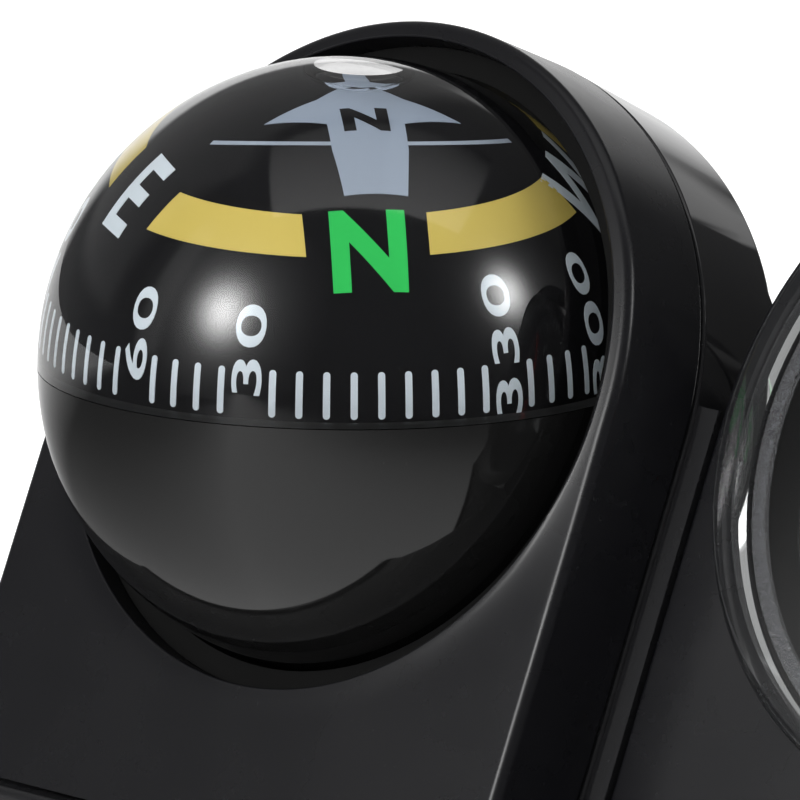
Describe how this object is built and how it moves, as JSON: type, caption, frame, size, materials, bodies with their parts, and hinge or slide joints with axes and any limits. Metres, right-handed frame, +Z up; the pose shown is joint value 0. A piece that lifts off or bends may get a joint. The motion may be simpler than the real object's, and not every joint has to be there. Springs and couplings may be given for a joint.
{
  "type": "car dashboard compass",
  "caption": "Dashboard unit with a liquid-filled ball compass in a leaning arched pod and a round dial thermometer in a second pod set back beside it, on a stick-down base.",
  "frame": {"origin": "middle of the adhesive pad's underside, where the unit is stuck down", "axes": "+Z up, the leaning faces look towards -Y, +X to the right seen from the front, along the length"},
  "size_m": [0.1004, 0.0479, 0.0551],
  "materials": {
    "face_plastic": "satin-gloss moulded black",
    "rear_plastic": "gloss moulded black",
    "foam": "closed-cell foam tape",
    "clear_plastic": "clear polished",
    "bowl_plastic": "high gloss black",
    "plug_rubber": "matt",
    "inner_plastic": "matt black",
    "steel": "bright",
    "jewel": "polished",
    "brass": "turned",
    "card_plastic": "black with printed scale",
    "float_plastic": "plain white",
    "magnet": "plain ferrite grey",
    "ring_metal": "faceted bright",
    "dial_print": "black printed sheet",
    "bimetal": "rolled strip",
    "pointer_paint": "painted"
  },
  "bodies": {
    "root": {"compass_front_shell": "face_plastic", "gauge_front_shell": "face_plastic", "rear_shell": "rear_plastic", "base_plate": "face_plastic", "adhesive_pad": "foam", "clear_dome": "clear_plastic", "lower_bowl": "bowl_plastic", "fill_plug": "plug_rubber", "pivot_post": "inner_plastic", "pivot_needle": "steel", "capsule_cradle": "inner_plastic", "gauge_lens": "clear_plastic", "trim_ring": "ring_metal", "gauge_cup": "inner_plastic", "dial_plate": "dial_print", "dial_bush": "brass", "rear_bush": "brass", "bimetal_coil": "bimetal", "coil_anchor": "steel", "dial_screw_1": "steel", "dial_screw_2": "steel", "base_screw_1": "steel", "base_screw_2": "steel", "base_screw_3": "steel", "base_screw_4": "steel", "base_screw_5": "steel", "base_screw_6": "steel"},
    "jewel": {"jewel": "jewel"},
    "jewel_holder": {"jewel_holder": "brass"},
    "card": {"compass_card": "card_plastic", "card_float": "float_plastic", "card_magnet": "magnet"},
    "pointer": {"pointer": "pointer_paint", "pointer_cap": "inner_plastic", "pointer_arbor": "steel"}
  },
  "joints": [
    {"name": "card_pitch", "type": "hinge", "parent": "root", "child": "jewel", "pos_m": [-0.02555, -0.00178, 0.0335], "axis": [1, 0, 0], "range_deg": [-15, 15]},
    {"name": "card_roll", "type": "hinge", "parent": "jewel", "child": "jewel_holder", "pos_m": [-0.02555, -0.00178, 0.0335], "axis": [0, 1, 0], "range_deg": [-15, 15]},
    {"name": "card_yaw", "type": "hinge", "parent": "jewel_holder", "child": "card", "pos_m": [-0.02555, -0.00178, 0.0335], "axis": [0, 0, 1], "continuous": true},
    {"name": "pointer_swing", "type": "hinge", "parent": "root", "child": "pointer", "pos_m": [0.02445, -0.00077, 0.03568], "axis": [0, -0.9063, 0.4226], "range_deg": [-120, 120], "stiffness_Nm_per_rad": 0.00002}
  ]
}
